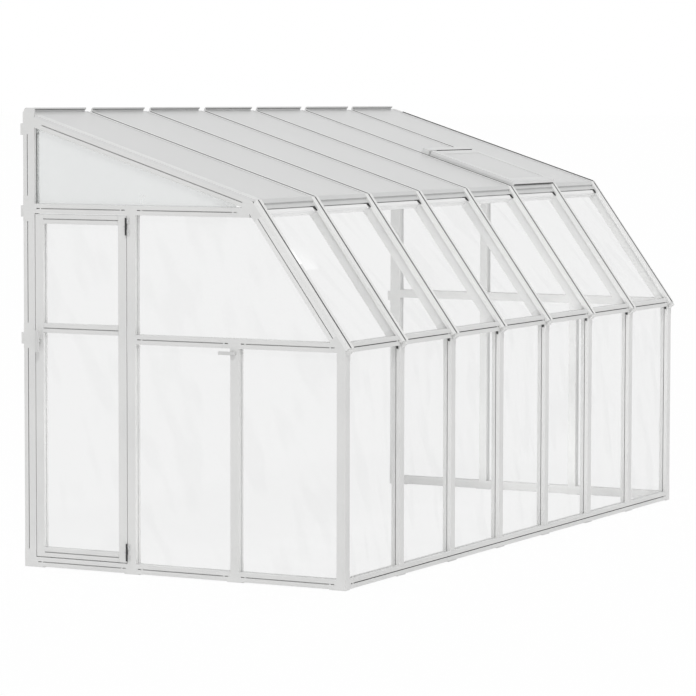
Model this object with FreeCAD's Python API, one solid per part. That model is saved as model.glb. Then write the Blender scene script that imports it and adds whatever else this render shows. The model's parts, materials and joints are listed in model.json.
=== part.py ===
import FreeCAD, Part
import math
import os

from FreeCAD import Vector

os.makedirs("parts", exist_ok=True)

# Sizes are in mm. x runs along the open back, v runs from the front face of the posts to the back
# and becomes y once the ground fixing holes are centred on the origin, z runs up from the ground.

# Bays of the frame
bay_pitch = 610.0
bay_count = 7
end_bay = 610.0
door_clear = 560.0

# Hollow bars and the connectors that plug into them
bar = 50.0
bar_radius = 3.0
chamber = 20.0
fit = 0.3
arm_reach = 66.0
tenon_length = 40.0
groove_width = 5.0
groove_depth = 7.0
lock_length = 20.0
lock_setback = 9.0
wall_post_depth = 70.0
wall_groove_setback = 27.0

# Heights of the rail centre lines and the foot plates below the base
foot_plate = 4.0
foot_plate_length = 90.0
rail_height = 1219.0
head_drop = 38.0

# Outer line of the slanted eave and of the roof
foot_overhang = 19.0
foot_drop = 1.5
knee_setback = 512.0
knee_rise = 733.0
roof_pitch = 17.7

# Glazing
pane = 3.0
panel = 6.0
bite = 10.0
centre_gap = 6.0

# Glazing bars on the roof rafters
roof_cover = 13.0
roof_flange = 2.0
roof_web = 18.0
bar_end_gap = 25.0

# Caps that clamp the glazing on the slanted rafters
cover = 21.0
cap_half = 37.0
cap_radius = 4.0
cap_groove_width = 6.0
cap_groove_depth = 7.0
stem_width = 4.4
stem_length = 6.0

# Eave connectors
eave_arm = 92.0
eave_heel = 12.0
nose_half = 20.0
nose_length = 16.0
nose_drop = 36.0
nose_screw_radius = 3.0
nose_screw_depth = 7.0

# Knee rail and knee connectors
knee_arm = 72.0
knee_land = 50.0
knee_land_depth = 12.0
knee_seat = 24.0
knee_bottom = 60.0
knee_lip = 22.0
knee_lip_depth = 2.0
knee_flange_reach = 20.0
knee_back = 30.0
knee_chamber = 14.0
head_arm = 100.0

# Wall plate, wall connectors and flashing
wall_arm = 62.0
corner_radius = 36.0
web = 10.0
lip_reach = 18.0
lip_thickness = 8.0
flashing_radius = 16.0
lip_rise = 14.5
joint_gap = 2.0

# Spacers behind the wall posts, and their screw holes
spacer_depth = 18.0
spacer_height = 60.0
spacer_width = 45.0
spacer_rise = 15.0
wall_hole_radius = 4.5
wall_hole_inset = 38.0
wall_hole_drop = 35.0

# Ground fixing holes in the base connectors
ground_hole_radius = 4.5
ground_hole_inset = 40.0
ground_hole_front = 70.0
ground_hole_back = 92.0

# Door
door_thickness = 40.0
door_gap = 3.0
door_sill_gap = 4.0
stile = 50.0
door_rail_height = 1261.0

# Door hinges
hinge_out = 7.0
hinge_knuckle = 5.0
hinge_pin = 2.5
running = 0.05
hinge_plate = 3.0
hinge_plate_width = 20.0
hinge_height = 90.0
hinge_slot = 0.5
hinge_inset = 55.0

# Door handle
handle_drop = 27.0
handle_inset = 26.0
spindle = 6.0
grip_width = 22.0
grip_length = 114.0
grip_thickness = 10.0
grip_standoff = 22.0
grip_radius = 4.0
tongue_length = 46.0
tongue_width = 16.0
tongue_thickness = 5.0
tongue_gap = 0.6

# Door holder on the left mid post
holder_drop = 49.0
holder_width = 18.0
holder_length = 96.0
holder_thickness = 6.0
holder_standoff = 10.0
holder_boss = 8.0
holder_pin = 4.0
holder_pin_depth = 12.0

# Roof vent in the sixth bay
vent_count_from_right = 2
vent_inset = 10.0
vent_low = -4.0
vent_length = 559.0
vent_top = 30.0
vent_edge = 21.0
vent_border = 52.0
vent_rebate = 12.0
vent_lip = 2.0
rim_setback = 24.0
rim_width = 12.0
header_width = 44.0
trimmer_width = 40.0
hinge_channel = 8.0
vent_knuckle = 7.0
vent_knuckle_length = 34.0
vent_pin = 3.5
vent_hinge_offset = 190.0

# Stay under the vent sash
stay_pivot = 72.0
stay_depth = 4.0
stay_length = 270.0
stay_width = 14.0
stay_thickness = 5.0
stay_pin = 3.0
ear_thickness = 5.0
ear_length = 22.0
ear_gap = 0.4
ear_setback = 36.0


class Run:
    """A straight line across the end wall: s runs along it, depth runs into the room from it."""

    def __init__(self, v, z, degrees):
        self.v = v
        self.z = z
        self.cos = math.cos(math.radians(degrees))
        self.sin = math.sin(math.radians(degrees))

    def at(self, s, depth):
        return (self.v + s * self.cos + depth * self.sin, self.z + s * self.sin - depth * self.cos)

    def along(self):
        return Vector(0, self.cos, self.sin)

    def depth_of(self, point):
        return (point.y - self.v) * self.sin - (point.z - self.z) * self.cos

    def reach(self, v, depth):
        return (v - self.v - depth * self.sin) / self.cos

    def climb(self, z, depth):
        return (z - self.z + depth * self.cos) / self.sin

    def at_v(self, v, depth):
        return self.at(self.reach(v, depth), depth)

    def at_height(self, z, depth):
        return self.at(self.climb(z, depth), depth)


def middle(pair):
    return (pair[0] + pair[1]) / 2


def about(centre, half):
    return (centre - half, centre + half)


def prism(outline, x):
    """Outline of (v, z) points, extruded between two x positions."""
    low = min(x)
    points = [Vector(low, v, z) for v, z in outline]
    face = Part.Face(Part.makePolygon(points + [points[0]]))
    return face.extrude(Vector(max(x) - low, 0, 0))


def block(x, v, z):
    corner = Vector(min(x), min(v), min(z))
    return Part.makeBox(max(x) - min(x), max(v) - min(v), max(z) - min(z), corner)


def rod(x, v, z, radius):
    """Round bar along x."""
    return Part.makeCylinder(radius, max(x) - min(x), Vector(min(x), v, z), Vector(1, 0, 0))


def strip(run, s, depth, x):
    corners = [run.at(s[0], depth[0]), run.at(s[1], depth[0]), run.at(s[1], depth[1]), run.at(s[0], depth[1])]
    return prism(corners, x)


# Largest sine of the angle between two directions that count as parallel
parallel = 1e-6


def rounded(solid, along, radius, keep=None):
    """Rounds the edges that run along a direction, all of them or those that keep accepts."""
    edges = []
    for edge in solid.Edges:
        if edge.tangentAt(edge.FirstParameter).cross(along).Length < parallel:
            if keep is None or keep(edge.Vertexes[0].Point):
                edges.append(edge)
    return solid.makeFillet(radius, edges)


def tube(run, s, depth, x, keep=None):
    """Hollow bar along a run."""
    outer = rounded(strip(run, s, depth, x), run.along(), bar_radius, keep)
    hollow = strip(run, s, about(middle(depth), chamber / 2), about(middle(x), chamber / 2))
    return outer.cut(hollow)


def tenon(run, s, depth, x):
    """Plug that enters the chamber of a hollow bar."""
    half = chamber / 2 - fit
    return strip(run, s, about(middle(depth), half), about(middle(x), half))


def joined(shapes):
    return shapes[0].multiFuse(shapes[1:]).removeSplitter()


def carved(solid, cutters):
    """Takes away every cutter that reaches into the solid."""
    near = [cutter for cutter in cutters if solid.BoundBox.intersect(cutter.BoundBox)]
    if near:
        return solid.cut(near)
    return solid


# Places that follow from the sizes
half_length = bay_count * bay_pitch / 2 + bar / 2
post_x = [(i - bay_count / 2) * bay_pitch for i in range(bay_count + 1)]
mid_post_v = bar / 2 + end_bay
door_post_v = bar / 2 + 2 * end_bay
opening_front = door_post_v + bar / 2
wall_front = opening_front + door_clear
wall_v = wall_front + wall_post_depth
base_top = foot_plate + bar
base_centre = foot_plate + bar / 2
rail_low = rail_height - bar / 2
rail_top = rail_height + bar / 2
handle_height = rail_height - handle_drop
holder_height = rail_height - holder_drop
under = cover + bar
core = cover + bar / 2
roof_under = roof_cover + bar
roof_core = roof_cover + bar / 2
roof_seat = roof_flange + panel
vent_bay = bay_count - vent_count_from_right

foot_z = rail_height - foot_drop
slant_angle = math.degrees(math.atan2(knee_rise, knee_setback + foot_overhang))
slant_length = math.hypot(knee_rise, knee_setback + foot_overhang)
slant = Run(-foot_overhang, foot_z, slant_angle)
roof = Run(knee_setback, foot_z + knee_rise, roof_pitch)
upright = Run(0, 0, 90)
level = Run(0, 0, 0)
mitre_rate = math.tan(math.radians((slant_angle - roof_pitch) / 2))


def meeting(depth, roof_depth):
    """Distance along the slant where a depth of the slant meets a depth of the roof."""
    turn = math.radians(slant_angle - roof_pitch)
    return slant_length - (roof_depth - depth * math.cos(turn)) / math.sin(turn)


knee_v, knee_z = slant.at(meeting(core, roof_core), core)
head_height = knee_z - head_drop
head_low = head_height - bar / 2
head_top = head_height + bar / 2
head_front = knee_v + head_arm
slant_start = eave_arm
slant_end = slant_length - core * mitre_rate - knee_arm
roof_start = roof.climb(head_top + joint_gap, roof_under)
panel_start = roof_seat * mitre_rate + joint_gap
plate_front = wall_v - bar
plate_low = roof.at_v(plate_front, roof_under)[1]
roof_end = roof.reach(plate_front, roof_under) - wall_arm
top_z = roof.at_v(wall_v, 0)[1] + lip_rise
corner_width = bar / 2 + roof_web / 2
ground_v = (ground_hole_front + wall_v - ground_hole_back) / 2


def save(name, solids):
    """Writes one node, with the origin moved to the centre of the ground fixing holes."""
    shape = Part.makeCompound(solids) if len(solids) > 1 else solids[0]
    shape = shape.copy()
    shape.translate(Vector(0, -ground_v, 0))
    shape.exportStep("parts/" + name + ".step")


def end_x(side, near, far):
    """Pair of x positions at two depths behind the outer face of an end wall, side -1 or 1."""
    return (side * (half_length - near), side * (half_length - far))


def mirrored(make):
    return {side: make(side) for side in (-1, 1)}


# Front panes, one in each bay, held in grooves of the posts, the base rail and the eave rail
def front_pane(i, spare):
    x = (post_x[i] + bar / 2 - bite - spare, post_x[i + 1] - bar / 2 + bite + spare)
    return block(x, about(bar / 2, pane / 2 + spare), (base_top - bite - spare, rail_low + bite + spare))


front_panes = [front_pane(i, 0) for i in range(bay_count)]
front_slots = [front_pane(i, fit) for i in range(bay_count)]


# Clear panes of the end walls, held in grooves in the middle of the bars
def end_pane(side, v, z, spare):
    grow = bite + spare
    x = end_x(side, bar / 2 - pane / 2 - spare, bar / 2 + pane / 2 + spare)
    return block(x, (v[0] - grow, v[1] + grow), (z[0] - grow, z[1] + grow))


def eave_pane(side, spare):
    """Pane behind the slanted rafter, with its sloping front edge in that rafter."""
    grow = bite + spare
    low = rail_top - grow
    high = head_low + grow
    back = door_post_v - bar / 2 + grow
    front = under - grow
    outline = [slant.at_height(low, front), (back, low), (back, high), slant.at_height(high, front)]
    return prism(outline, end_x(side, bar / 2 - pane / 2 - spare, bar / 2 + pane / 2 + spare))


def gable_panel(side, spare):
    """Twin-wall panel between the head rail, the wall post and the roof rafter."""
    grow = bite + spare
    low = head_top - grow
    front = head_front - grow
    back = wall_front + grow
    depth = roof_under - grow
    outline = [(front, low), (back, low), roof.at_v(back, depth), roof.at_v(front, depth)]
    return prism(outline, end_x(side, bar / 2 - panel / 2 - spare, bar / 2 + panel / 2 + spare))


low_front = (bar, mid_post_v - bar / 2)
low_middle = (mid_post_v + bar / 2, door_post_v - bar / 2)
low_back = (opening_front, wall_front)
low_z = (base_top, rail_low)
high_z = (rail_top, head_low)


def end_panes(side, spare):
    panes = [eave_pane(side, spare)]
    panes.append(end_pane(side, low_front, low_z, spare))
    panes.append(end_pane(side, low_middle, low_z, spare))
    if side > 0:
        panes.append(end_pane(side, low_back, low_z, spare))
        panes.append(end_pane(side, low_back, high_z, spare))
    return panes


end_glass = mirrored(lambda side: end_panes(side, 0))
gables = mirrored(lambda side: gable_panel(side, 0))
end_slots = mirrored(lambda side: end_panes(side, fit) + [gable_panel(side, fit)])
all_slots = front_slots + end_slots[-1] + end_slots[1]
save("front_panes", front_panes)
save("left_end_panes", end_glass[-1])
save("right_end_panes", end_glass[1])
save("gable_panels", [gables[-1], gables[1]])


# Caps along the slanted rafters: a flat bar with a groove down its face and a stem in the rafter
slant_cap_depth = cover - pane
knee_gap = joint_gap / 4
stem_depth = cover + stem_length
roof_stem_depth = roof_cover + stem_length


def slant_cap(i, spare):
    x = about(post_x[i], cap_half + spare)
    lip = None
    if i == 0:
        x = (-half_length - spare, x[1])
        lip = (-half_length - spare, post_x[i] - centre_gap)
    if i == bay_count:
        x = (x[0], half_length + spare)
        lip = (post_x[i] + centre_gap, half_length + spare)
    top = slant_length - knee_gap
    low_top = top - slant_cap_depth * mitre_rate
    outline = [slant.at(-spare, 0), slant.at(top, 0)]
    outline += [slant.at(low_top, slant_cap_depth), slant.at(-spare, slant_cap_depth)]
    outer_edges = lambda p: slant.depth_of(p) < slant_cap_depth / 2
    solids = [rounded(prism(outline, x), slant.along(), cap_radius, outer_edges)]
    stem_s = (-spare, top - stem_depth * mitre_rate)
    stem_x = about(post_x[i], stem_width / 2 + spare)
    solids.append(strip(slant, stem_s, (slant_cap_depth, stem_depth + spare), stem_x))
    if lip:
        solids.append(strip(slant, stem_s, (slant_cap_depth, cover), lip))
    groove = strip(slant, (0, top), (0, cap_groove_depth), about(post_x[i], cap_groove_width / 2))
    whole = joined(solids)
    return whole if spare else whole.cut(groove)


# Glazing bars on the roof rafters: a thin flange over the panels, a web between them, a foot below
def roof_bar(i, spare):
    stop = roof.reach(wall_v - bar_end_gap, 0)
    flange_x = about(post_x[i], cap_half + spare)
    cheek = None
    if i == 0:
        cheek = (-half_length - spare, post_x[i])
    if i == bay_count:
        cheek = (post_x[i], half_length + spare)
    if cheek:
        stop = roof.reach(wall_front - joint_gap, roof_cover)
        flange_x = (cheek[0], flange_x[1]) if i == 0 else (flange_x[0], cheek[1])
    layers = [
        (0, roof_flange + spare, flange_x),
        (roof_flange, roof_seat, about(post_x[i], roof_web / 2 + spare)),
        (roof_seat, roof_cover, about(post_x[i], bar / 2)),
        (roof_cover, roof_stem_depth + spare, about(post_x[i], stem_width / 2 + spare)),
    ]
    if cheek:
        layers.append((0, roof_cover, cheek))
    solids = []
    for top, low, x in layers:
        outline = [roof.at(top * mitre_rate + knee_gap, top), roof.at(stop, top)]
        outline += [roof.at(stop, low), roof.at(low * mitre_rate + knee_gap, low)]
        solids.append(prism(outline, x))
    groove = strip(roof, (0, stop), (0, cap_groove_depth), about(post_x[i], cap_groove_width / 2))
    whole = joined(solids)
    return whole if spare or i == 0 else whole.cut(groove)


slant_caps = [slant_cap(i, 0) for i in range(bay_count + 1)]
roof_bars = [roof_bar(i, 0) for i in range(bay_count + 1)]
slant_cap_room = [slant_cap(i, fit) for i in range(bay_count + 1)]
roof_bar_room = [roof_bar(i, fit) for i in range(bay_count + 1)]
save("slant_caps", slant_caps)
save("roof_glazing_bars", roof_bars)


# Slanted panes on the rafters below the caps, and roof panels between the glazing bars
def slant_pane(i):
    top = slant_length - knee_land - fit
    outline = [slant.at_height(rail_top, cover), slant.at(top, cover), slant.at(top, cover - pane)]
    outline.append(slant.at_height(rail_top, cover - pane))
    return prism(outline, (post_x[i] + centre_gap, post_x[i + 1] - centre_gap))


trimmer_start = vent_low + vent_length + 2 * hinge_channel
panel_end = roof.reach(wall_v - web - fit, roof_seat)


def roof_panel(i):
    start = panel_start
    if i == vent_bay:
        start = trimmer_start + trimmer_width / 2
    x = (post_x[i] + roof_web / 2 + fit, post_x[i + 1] - roof_web / 2 - fit)
    return strip(roof, (start, panel_end), (roof_flange, roof_seat), x)


save("slant_panes", [slant_pane(i) for i in range(bay_count)])
save("roof_panels", [roof_panel(i) for i in range(bay_count)])


# Bars of the rafters
def rafter(run, s, top, i, bar_room, keep=None):
    """Hollow bar with its upper face at a depth, and a groove down the outer face of an end one."""
    solid = tube(run, s, (top, top + bar), about(post_x[i], bar / 2), keep)
    cutters = [bar_room[i]]
    if i in (0, bay_count):
        side = -1 if i == 0 else 1
        groove = strip(run, s, about(top + bar / 2, groove_width / 2), end_x(side, 0, groove_depth))
        cutters += end_slots[side] + [groove]
    return carved(solid, cutters)


low_edges = lambda p: roof.depth_of(p) > roof_core
roof_rafters = []
for i in range(bay_count + 1):
    save("slant_rafter_%d" % (i + 1), [rafter(slant, (slant_start, slant_end), cover, i, slant_cap_room)])
    roof_rafters.append(rafter(roof, (roof_start, roof_end), roof_cover, i, roof_bar_room, low_edges))
save("roof_rafters", roof_rafters)

# Base: front rail in one length, end rails in lengths between the connectors
front_rail_x = (-half_length + bar / 2 + arm_reach, half_length - bar / 2 - arm_reach)
base_z = (foot_plate, base_top)


def cross_tube(x, v, z):
    """Hollow bar along x with a groove along its front face."""
    outer = rounded(block(x, v, z), Vector(1, 0, 0), bar_radius)
    hollow = block(x, about(middle(v), chamber / 2), about(middle(z), chamber / 2))
    groove = block(x, (v[0], v[0] + groove_depth), about(middle(z), groove_width / 2))
    return outer.cut([hollow, groove])


save("base_rail_front", [carved(cross_tube(front_rail_x, (0, bar), base_z), front_slots)])


def end_rail(side, v, z):
    """Hollow bar along an end wall with a groove along its outer face."""
    depth = (-z - bar / 2, -z + bar / 2)
    solid = tube(level, v, depth, end_x(side, 0, bar))
    groove = strip(level, v, about(-z, groove_width / 2), end_x(side, 0, groove_depth))
    return carved(solid, [groove] + end_slots[side])


corner_end = bar / 2 + arm_reach
wall_arm_front = wall_front - arm_reach + bar / 2
spans = [(corner_end, mid_post_v - arm_reach), (mid_post_v + arm_reach, door_post_v - arm_reach)]
spans.append((door_post_v + arm_reach, wall_arm_front))
for side, word in ((-1, "left"), (1, "right")):
    save("base_rail_" + word, [end_rail(side, span, base_centre) for span in spans])
    head_spans = [(head_front, door_post_v - arm_reach), spans[2]]
    save("head_rail_" + word, [end_rail(side, span, head_height) for span in head_spans])
    mid_spans = spans if side > 0 else spans[:2]
    save("mid_rail_" + word, [end_rail(side, span, rail_height) for span in mid_spans])


# Connectors of the end walls: a block with arms and tenons, pane grooves and a lock slot in each arm
def lock_slot(side, end, toward, z):
    near = end + toward * lock_setback
    far = near + toward * lock_length
    return block(end_x(side, 0, groove_depth), (near, far), about(z, groove_width / 2))


def tee(side, v, z, arms):
    """Block on a post that spans v, with arms toward front, back, up and down."""
    x = end_x(side, 0, bar)
    z_core = about(z, bar / 2)
    solids = [block(x, v, z_core)]
    cutters = list(end_slots[side])
    depth = (-z_core[1], -z_core[0])
    extra = arm_reach - bar / 2
    if "front" in arms:
        end = v[0] - extra
        solids.append(block(x, (end, v[0]), z_core))
        solids.append(tenon(level, (end - tenon_length, end), depth, x))
        cutters.append(lock_slot(side, end, 1, z))
    if "back" in arms:
        end = v[1] + extra
        solids.append(block(x, (v[1], end), z_core))
        solids.append(tenon(level, (end, end + tenon_length), depth, x))
        cutters.append(lock_slot(side, end, -1, z))
    if "up" in arms:
        end = z_core[1] + extra
        solids.append(block(x, v, (z_core[1], end)))
        solids.append(tenon(upright, (end, end + tenon_length), v, x))
    if "down" in arms:
        end = z_core[0] - extra
        solids.append(block(x, v, (end, z_core[0])))
        solids.append(tenon(upright, (end - tenon_length, end), v, x))
    return carved(joined(solids), cutters)


mid_span = about(mid_post_v, bar / 2)
door_span = about(door_post_v, bar / 2)
wall_span = (wall_front, wall_v)
wall_node_z = [rail_height, head_height]


def wall_hole(side, z):
    x = side * (half_length - wall_hole_inset)
    length = wall_post_depth + spacer_depth
    start = Vector(x, wall_front, z - wall_hole_drop)
    return Part.makeCylinder(wall_hole_radius, length, start, Vector(0, 1, 0))


holder_bore = (-half_length, -half_length + holder_pin_depth + fit)
holder_hole = rod(holder_bore, mid_post_v, holder_height, holder_pin + running)
end_connectors = []
for side in (-1, 1):
    mid_tee = tee(side, mid_span, rail_height, ("front", "back", "down"))
    end_connectors.append(mid_tee.cut(holder_hole) if side < 0 else mid_tee)
    door_arms = ("front", "up", "down") if side < 0 else ("front", "back", "up", "down")
    end_connectors.append(tee(side, door_span, rail_height, door_arms))
    end_connectors.append(tee(side, door_span, head_height, ("front", "back", "down")))
    keeper_arms = ("up", "down") if side < 0 else ("front", "up", "down")
    keeper = tee(side, wall_span, rail_height, keeper_arms)
    end_connectors.append(keeper.cut(wall_hole(side, rail_height)))
    head_tee = tee(side, wall_span, head_height, ("front", "up", "down"))
    end_connectors.append(head_tee.cut(wall_hole(side, head_height)))
save("end_connectors", end_connectors)


# Base connectors on the corners and below the end posts, with the ground fixing holes
def ground_hole(side, v):
    x = side * (half_length - ground_hole_inset)
    return Part.makeCylinder(ground_hole_radius, base_top, Vector(x, v, 0))


def base_corner(side):
    solid = tee(side, (0, bar), base_centre, ("back", "up"))
    x = (side * (half_length - bar), side * front_rail_x[1])
    arm = block(x, (0, bar), base_z)
    plug_half = chamber / 2 - fit
    plug_x = (side * front_rail_x[1], side * (front_rail_x[1] - tenon_length))
    plug = block(plug_x, about(bar / 2, plug_half), about(base_centre, plug_half))
    lock_x = (side * (front_rail_x[1] + lock_setback), side * (front_rail_x[1] + lock_setback + lock_length))
    lock = block(lock_x, (0, groove_depth), about(base_centre, groove_width / 2))
    return carved(joined([solid, arm, plug]), [lock] + front_slots)


def post_spigot(i):
    """Plug on the base rail that holds the foot of a front post."""
    half = chamber / 2 - fit
    return block(about(post_x[i], half), about(bar / 2, half), (base_top, base_top + tenon_length))


ground_holes = []
base_connectors = []
for side in (-1, 1):
    holes = [ground_hole(side, ground_hole_front), ground_hole(side, wall_v - ground_hole_back)]
    ground_holes += holes
    base_connectors.append(base_corner(side).cut(holes[0]))
    base_connectors.append(tee(side, mid_span, base_centre, ("front", "back", "up")))
    base_connectors.append(tee(side, door_span, base_centre, ("front", "back", "up")))
    base_connectors.append(tee(side, wall_span, base_centre, ("front", "up")).cut(holes[1]))
base_connectors += [post_spigot(i) for i in range(1, bay_count)]
save("base_connectors", base_connectors)

# Foot plates on the ground below the posts
foot_z_range = (0, foot_plate)
plate_half = foot_plate_length / 2
feet = [block(about(x, plate_half), (0, bar), foot_z_range) for x in post_x[1:-1]]
for side in (-1, 1):
    x = end_x(side, 0, bar)
    feet.append(carved(block(x, (0, foot_plate_length), foot_z_range), ground_holes))
    feet.append(block(x, about(mid_post_v, plate_half), foot_z_range))
    feet.append(block(x, about(door_post_v, plate_half), foot_z_range))
    rear = block(x, (wall_v - foot_plate_length - bar / 2, wall_v), foot_z_range)
    feet.append(carved(rear, ground_holes))
save("base_feet", feet)


# Posts: hollow bars between the connectors
def post(x, v, z):
    return carved(tube(upright, z, v, x), all_slots)


post_low = base_top + arm_reach - bar / 2
post_high = rail_height - arm_reach
for i in range(bay_count + 1):
    low = post_low if i in (0, bay_count) else base_top
    save("front_post_%d" % (i + 1), [post(about(post_x[i], bar / 2), (0, bar), (low, post_high))])

upper = (rail_height + arm_reach, head_height - arm_reach)
lower = (post_low, post_high)
gable_low = head_height + arm_reach
gable_high = plate_low - arm_reach + bar / 2


def wall_post(side):
    """Post at the open back, in three lengths, with a groove down its outer face."""
    groove_v = about(wall_v - wall_groove_setback, groove_width / 2)
    solids = []
    for z in (lower, upper, (gable_low, gable_high)):
        groove = block(end_x(side, 0, groove_depth), groove_v, z)
        solids.append(post(end_x(side, 0, bar), wall_span, z).cut(groove))
    return solids


for side, word in ((-1, "left"), (1, "right")):
    x = end_x(side, 0, bar)
    save("wall_post_" + word, wall_post(side))
    save("mid_post_" + word, [post(x, mid_span, lower)])
    inner_word = "door_post" if side < 0 else "inner_post"
    save(inner_word, [post(x, door_span, lower), post(x, door_span, upper)])

# Eave rail and eave connectors
eave_z = (rail_low, rail_top)


def between(i):
    """Length of a rail between the connectors of two neighbouring posts."""
    return (post_x[i] + arm_reach, post_x[i + 1] - arm_reach)


save("eave_rail", [carved(cross_tube(between(i), (0, bar), eave_z), front_slots) for i in range(bay_count)])


def sideways(i):
    """Directions in which a rafter has a neighbour, -1 or 1 along x."""
    return [toward for toward in (-1, 1) if 0 <= i + toward <= bay_count]


def nose(i):
    """Stop below the foot of a rafter cap, with its screw hole."""
    front = slant.at(-fit - nose_length, cap_radius)
    outline = [slant.at(-fit, cap_radius), front, (0, foot_z - nose_drop), (bar / 2, foot_z - nose_drop)]
    outline += [(bar / 2, foot_z)]
    solid = prism(outline, about(post_x[i], nose_half))
    v, z = slant.at(-fit - nose_length - nose_screw_depth, slant_cap_depth / 2)
    screw = Part.makeCylinder(nose_screw_radius, 2 * nose_screw_depth, Vector(post_x[i], v, z), slant.along())
    return solid.cut(screw)


def eave_connector(i):
    x = about(post_x[i], bar / 2)
    low = rail_height - arm_reach
    plug = chamber / 2 - fit
    solids = [block(x, (0, bar), (low, rail_top))]
    solids.append(tenon(upright, (low - tenon_length, low), (0, bar), x))
    solids.append(strip(slant, (eave_heel, slant_start), (cover, under), x))
    solids.append(tenon(slant, (slant_start, slant_start + tenon_length), (cover, under), x))
    solids.append(nose(i))
    for toward in sideways(i):
        end = post_x[i] + toward * arm_reach
        solids.append(block((post_x[i], end), (0, bar), eave_z))
        tip = (end, end + toward * tenon_length)
        solids.append(block(tip, about(bar / 2, plug), about(rail_height, plug)))
    cutters = [slant_cap_room[i]] + front_slots
    if i in (0, bay_count):
        side = -1 if i == 0 else 1
        end = bar + arm_reach - bar / 2
        solids.append(block(x, (bar, end), eave_z))
        solids.append(tenon(level, (end, end + tenon_length), (-rail_top, -rail_low), x))
        cutters += end_slots[side]
        cutters.append(lock_slot(side, end, -1, rail_height))
    for toward in sideways(i):
        end = post_x[i] + toward * (arm_reach - lock_setback)
        lock_x = (end, end - toward * lock_length)
        cutters.append(block(lock_x, (0, groove_depth), about(rail_height, groove_width / 2)))
    return carved(joined(solids), cutters)


save("eave_connectors", [eave_connector(i) for i in range(bay_count + 1)])

# Knee rail: a rebate for the slanted pane, a drip lip, and a channel that closes the roof panels
channel_top = roof_flange - fit
knee_outline = [
    slant.at(slant_length - knee_land - knee_seat, cover),
    slant.at(slant_length - knee_land, cover),
    slant.at(slant_length - knee_land, knee_land_depth),
    slant.at(slant_length - knee_lip, knee_land_depth),
    slant.at(slant_length - knee_lip, knee_lip_depth),
    slant.at(meeting(knee_lip_depth, 0), knee_lip_depth),
    roof.at(knee_flange_reach, 0),
    roof.at(knee_flange_reach, channel_top),
    roof.at(panel_start - fit, channel_top),
    roof.at(panel_start - fit, roof_seat),
    roof.at(knee_back, roof_seat),
    roof.at(knee_back, knee_bottom),
    slant.at(slant_length - knee_bottom * mitre_rate, knee_bottom),
    slant.at(slant_length - knee_land - knee_seat, knee_bottom),
]
knee_hole_depth = (cover + knee_bottom) / 2
knee_hole = slant.at(slant_length - knee_hole_depth * mitre_rate, knee_hole_depth)


def knee_plug(x, half):
    return block(x, about(knee_hole[0], half), about(knee_hole[1], half))


knee_rail = []
for i in range(bay_count):
    solid = prism(knee_outline, between(i))
    knee_rail.append(solid.cut(knee_plug(between(i), knee_chamber / 2)))
save("knee_rail", knee_rail)


def knee_connector(i):
    x = about(post_x[i], bar / 2)
    elbow = [
        slant.at(slant_end, cover),
        slant.at(meeting(cover, roof_cover), cover),
        roof.at(roof_start, roof_cover),
        roof.at(roof_start, roof_under),
        slant.at(meeting(under, roof_under), under),
        slant.at(slant_end, under),
    ]
    solids = [prism(elbow, x)]
    solids.append(tenon(slant, (slant_end - tenon_length, slant_end), (cover, under), x))
    solids.append(tenon(roof, (roof_start, roof_start + tenon_length), (roof_cover, roof_under), x))
    cutters = [slant_cap_room[i], roof_bar_room[i]]
    for toward in sideways(i):
        end = post_x[i] + toward * arm_reach
        solids.append(prism(knee_outline, (post_x[i] + toward * bar / 2, end)))
        solids.append(knee_plug((end, end + toward * tenon_length), knee_chamber / 2 - fit))
    if i in (0, bay_count):
        side = -1 if i == 0 else 1
        solids.append(block(x, (knee_v, head_front), (head_low, head_top)))
        solids.append(tenon(level, (head_front, head_front + tenon_length), (-head_top, -head_low), x))
        cutters += end_slots[side]
        cutters.append(lock_slot(side, head_front, -1, head_height))
    return carved(joined(solids), cutters)


save("knee_connectors", [knee_connector(i) for i in range(bay_count + 1)])

# Wall plate, and wall connectors that carry the upper ends of the rafters
plate_outline = [
    (plate_front, plate_low),
    (wall_v, plate_low),
    roof.at_v(wall_v, roof_seat),
    roof.at_v(plate_front, roof_seat),
]
plate_hole = ((plate_front + wall_v) / 2, (plate_low + roof.at_v(plate_front, roof_seat)[1]) / 2)


def plate_plug(x, half):
    return block(x, about(plate_hole[0], half), about(plate_hole[1], half))


wall_plate = []
for i in range(bay_count):
    wall_plate.append(prism(plate_outline, between(i)).cut(plate_plug(between(i), chamber / 2)))
save("wall_plate", wall_plate)


def back_top(point):
    """Whether a point is on the upper back edge of the roof."""
    return point.y > wall_v - fit and point.z > top_z - fit


def wall_corner(side):
    """Top of a wall post: the arm down to the post, and the end of the roof's edge."""
    arm_low = plate_low - arm_reach + bar / 2
    x = end_x(side, 0, bar)
    layers = [(roof_seat, x), (0, end_x(side, 0, corner_width))]
    solids = []
    for depth, layer_x in layers:
        outline = [(wall_front, arm_low), (wall_v, arm_low)]
        outline += [roof.at_v(wall_v, depth), roof.at_v(wall_front, depth)]
        solids.append(prism(outline, layer_x))
    if side < 0:
        solids.append(block(end_x(side, 0, web), wall_span, (arm_low, top_z)))
    envelope = block(end_x(side, 0, bar), wall_span, (arm_low, top_z))
    body = joined(solids).common(rounded(envelope, Vector(1, 0, 0), corner_radius, back_top))
    return [body, tenon(upright, (arm_low - tenon_length, arm_low), wall_span, x)]


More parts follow.
